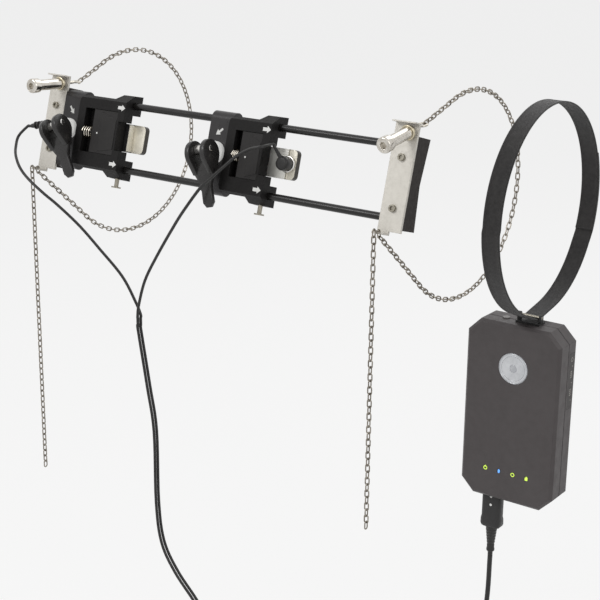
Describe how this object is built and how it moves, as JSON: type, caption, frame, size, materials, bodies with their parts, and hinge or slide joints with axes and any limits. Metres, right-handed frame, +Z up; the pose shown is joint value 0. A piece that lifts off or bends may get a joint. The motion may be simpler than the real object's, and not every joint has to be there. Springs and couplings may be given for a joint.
{
  "type": "clamp-on ultrasonic flow meter",
  "caption": "Clamp-on ultrasonic flow meter: a chained rail fixture with transducer carriers on cam levers, joined by cables to a transmitter box that hangs on a strap",
  "frame": {"origin": "on the axis of the clamped cylinder, midway between the two end plates", "axes": "+X along the cylinder towards the transmitter box, +Z up, front towards -Y"},
  "size_m": [0.6813, 0.2895, 0.7504],
  "materials": {
    "plate_aluminium": "brushed",
    "foot_black": "moulded",
    "pad_rubber": "matt",
    "rail_black": "black anodised, satin",
    "screw_steel": "satin",
    "rod_steel": "bright",
    "nut_steel": "turned, bright",
    "chain_steel": "worn",
    "carrier_black": "anodised, matt",
    "mount_black": "satin black",
    "spring_steel": "bright wire",
    "post_steel": "turned",
    "lever_black": "moulded, half gloss",
    "disc_white": "smooth",
    "sensor_metal": "brushed",
    "sensor_black": "moulded",
    "cable_rubber": "half gloss",
    "strap_fabric": "woven hook and loop",
    "housing_grey": "fine texture",
    "seal_rubber": "matt",
    "board_green": "solder mask",
    "pack_blue": "wrapped",
    "light_lens": "clear lens",
    "badge_silver": "satin, bare",
    "plug_black": "moulded"
  },
  "bodies": {
    "root": {"end_plate_left": "plate_aluminium", "end_plate_right": "plate_aluminium", "foot_left": "foot_black", "foot_right": "foot_black", "foot_pads": "pad_rubber", "rail_top": "rail_black", "rail_bottom": "rail_black", "plate_screws": "screw_steel", "draw_rod_left": "rod_steel", "draw_rod_right": "rod_steel", "chain_loop_left": "chain_steel", "chain_loop_right": "chain_steel", "strap": "strap_fabric", "cable_left": "cable_rubber", "cable_pair": "cable_rubber", "cable_joint": "cable_rubber"},
    "housing": {"housing_front": "housing_grey", "housing_back": "housing_grey", "housing_seal": "seal_rubber", "housing_screws": "screw_steel", "main_board": "board_green", "battery_pack": "pack_blue", "indicator_lights": "light_lens", "badge_disc": "badge_silver", "hanger_bracket": "mount_black", "hanger_pin": "screw_steel", "signal_socket": "mount_black", "signal_plug": "plug_black", "plug_boot": "cable_rubber", "cable_trunk": "cable_rubber"},
    "button": {"power_button": "seal_rubber"},
    "door": {"port_cover": "seal_rubber"},
    "nut_left": {"tension_nut_left": "nut_steel"},
    "tail_left": {"chain_tail_left": "chain_steel"},
    "carrier_left": {"carrier_left": "carrier_black", "lever_mount_left": "mount_black", "latch_spring_left": "spring_steel", "transducer_base_left": "sensor_metal", "transducer_shell_left": "sensor_black", "transducer_plug_left": "cable_rubber"},
    "latch_left": {"latch_plate_left": "carrier_black"},
    "post_left": {"cam_post_left": "post_steel"},
    "lever_left": {"cam_lever_left": "lever_black"},
    "disc_left": {"pressure_disc_left": "disc_white"},
    "lock_left": {"lock_screw_left": "post_steel"},
    "nut_right": {"tension_nut_right": "nut_steel"},
    "tail_right": {"chain_tail_right": "chain_steel"},
    "carrier_right": {"carrier_right": "carrier_black", "lever_mount_right": "mount_black", "latch_spring_right": "spring_steel", "transducer_base_right": "sensor_metal", "transducer_shell_right": "sensor_black", "transducer_plug_right": "cable_rubber", "connector_plate_right": "plate_aluminium", "cable_right": "cable_rubber"},
    "latch_right": {"latch_plate_right": "carrier_black"},
    "post_right": {"cam_post_right": "post_steel"},
    "lever_right": {"cam_lever_right": "lever_black"},
    "disc_right": {"pressure_disc_right": "disc_white"},
    "lock_right": {"lock_screw_right": "post_steel"}
  },
  "joints": [
    {"name": "carrier_slide_left", "type": "slide", "parent": "root", "child": "carrier_left", "axis": [1, 0, 0], "range_m": [0, 0.05]},
    {"name": "nut_turn_left", "type": "hinge", "parent": "root", "child": "nut_left", "pos_m": [-0.2336, -0.11602, 0.08591], "axis": [0, -0.9986, 0.0523], "continuous": true},
    {"name": "tail_swing_left", "type": "hinge", "parent": "root", "child": "tail_left", "pos_m": [-0.2456, -0.15753, -0.00809], "axis": [1, 0, 0], "range_deg": [-2, 12]},
    {"name": "latch_push_left", "type": "slide", "parent": "carrier_left", "child": "latch_left", "axis": [-1, 0, 0], "range_m": [0, 0.004], "stiffness_N_per_m": 600, "springref_m": -0.002, "deforming": ["latch_spring_left"]},
    {"name": "post_swivel_left", "type": "hinge", "parent": "carrier_left", "child": "post_left", "pos_m": [-0.211, -0.12881, 0.03694], "axis": [0, -0.9613, 0.2756], "range_deg": [-18, 0]},
    {"name": "lever_open_left", "type": "hinge", "parent": "post_left", "child": "lever_left", "pos_m": [-0.211, -0.15223, 0.04365], "axis": [-0.8988, -0.1208, -0.4214], "range_deg": [0, 95]},
    {"name": "disc_lift_left", "type": "slide", "parent": "carrier_left", "child": "disc_left", "axis": [0, -0.9613, 0.2756], "range_m": [0, 0.00265]},
    {"name": "lock_turn_left", "type": "hinge", "parent": "carrier_left", "child": "lock_left", "pos_m": [-0.133, -0.13394, -0.01361], "axis": [0, -0.2756, -0.9613], "continuous": true},
    {"name": "carrier_slide_right", "type": "slide", "parent": "root", "child": "carrier_right", "axis": [1, 0, 0], "range_m": [-0.03, 0.1]},
    {"name": "nut_turn_right", "type": "hinge", "parent": "root", "child": "nut_right", "pos_m": [0.2436, -0.11602, 0.08591], "axis": [0, -0.9903, -0.1392], "continuous": true},
    {"name": "tail_swing_right", "type": "hinge", "parent": "root", "child": "tail_right", "pos_m": [0.2316, -0.15753, -0.00809], "axis": [1, 0, 0], "range_deg": [-20, 12]},
    {"name": "latch_push_right", "type": "slide", "parent": "carrier_right", "child": "latch_right", "axis": [-1, 0, 0], "range_m": [0, 0.004], "stiffness_N_per_m": 600, "springref_m": -0.002, "deforming": ["latch_spring_right"]},
    {"name": "post_swivel_right", "type": "hinge", "parent": "carrier_right", "child": "post_right", "pos_m": [0.008, -0.12881, 0.03694], "axis": [0, -0.9613, 0.2756], "range_deg": [-15, 5]},
    {"name": "lever_open_right", "type": "hinge", "parent": "post_right", "child": "lever_right", "pos_m": [0.008, -0.15223, 0.04365], "axis": [-0.9703, -0.0667, -0.2326], "range_deg": [0, 95], "deforming": ["cable_right"]},
    {"name": "disc_lift_right", "type": "slide", "parent": "carrier_right", "child": "disc_right", "axis": [0, -0.9613, 0.2756], "range_m": [0, 0.00265]},
    {"name": "lock_turn_right", "type": "hinge", "parent": "carrier_right", "child": "lock_right", "pos_m": [0.0725, -0.13394, -0.01361], "axis": [0, -0.2756, -0.9613], "continuous": true},
    {"name": "housing_swing", "type": "hinge", "parent": "root", "child": "housing", "pos_m": [0.3365, -0.01496, -0.11216], "axis": [1, 0, 0], "range_deg": [-8, 8]},
    {"name": "button_press", "type": "slide", "parent": "housing", "child": "button", "axis": [0, 0, -1], "range_m": [0, 0.001], "stiffness_N_per_m": 600, "springref_m": -0.001},
    {"name": "door_open", "type": "hinge", "parent": "housing", "child": "door", "pos_m": [0.3826, -0.01216, -0.17651], "axis": [0, 0, -1], "range_deg": [0, 100]}
  ],
  "couplings": [
    {"joint": "lever_open_left", "follows": "disc_lift_left", "rad_per_m": 625},
    {"joint": "lever_open_right", "follows": "disc_lift_right", "rad_per_m": 625}
  ]
}
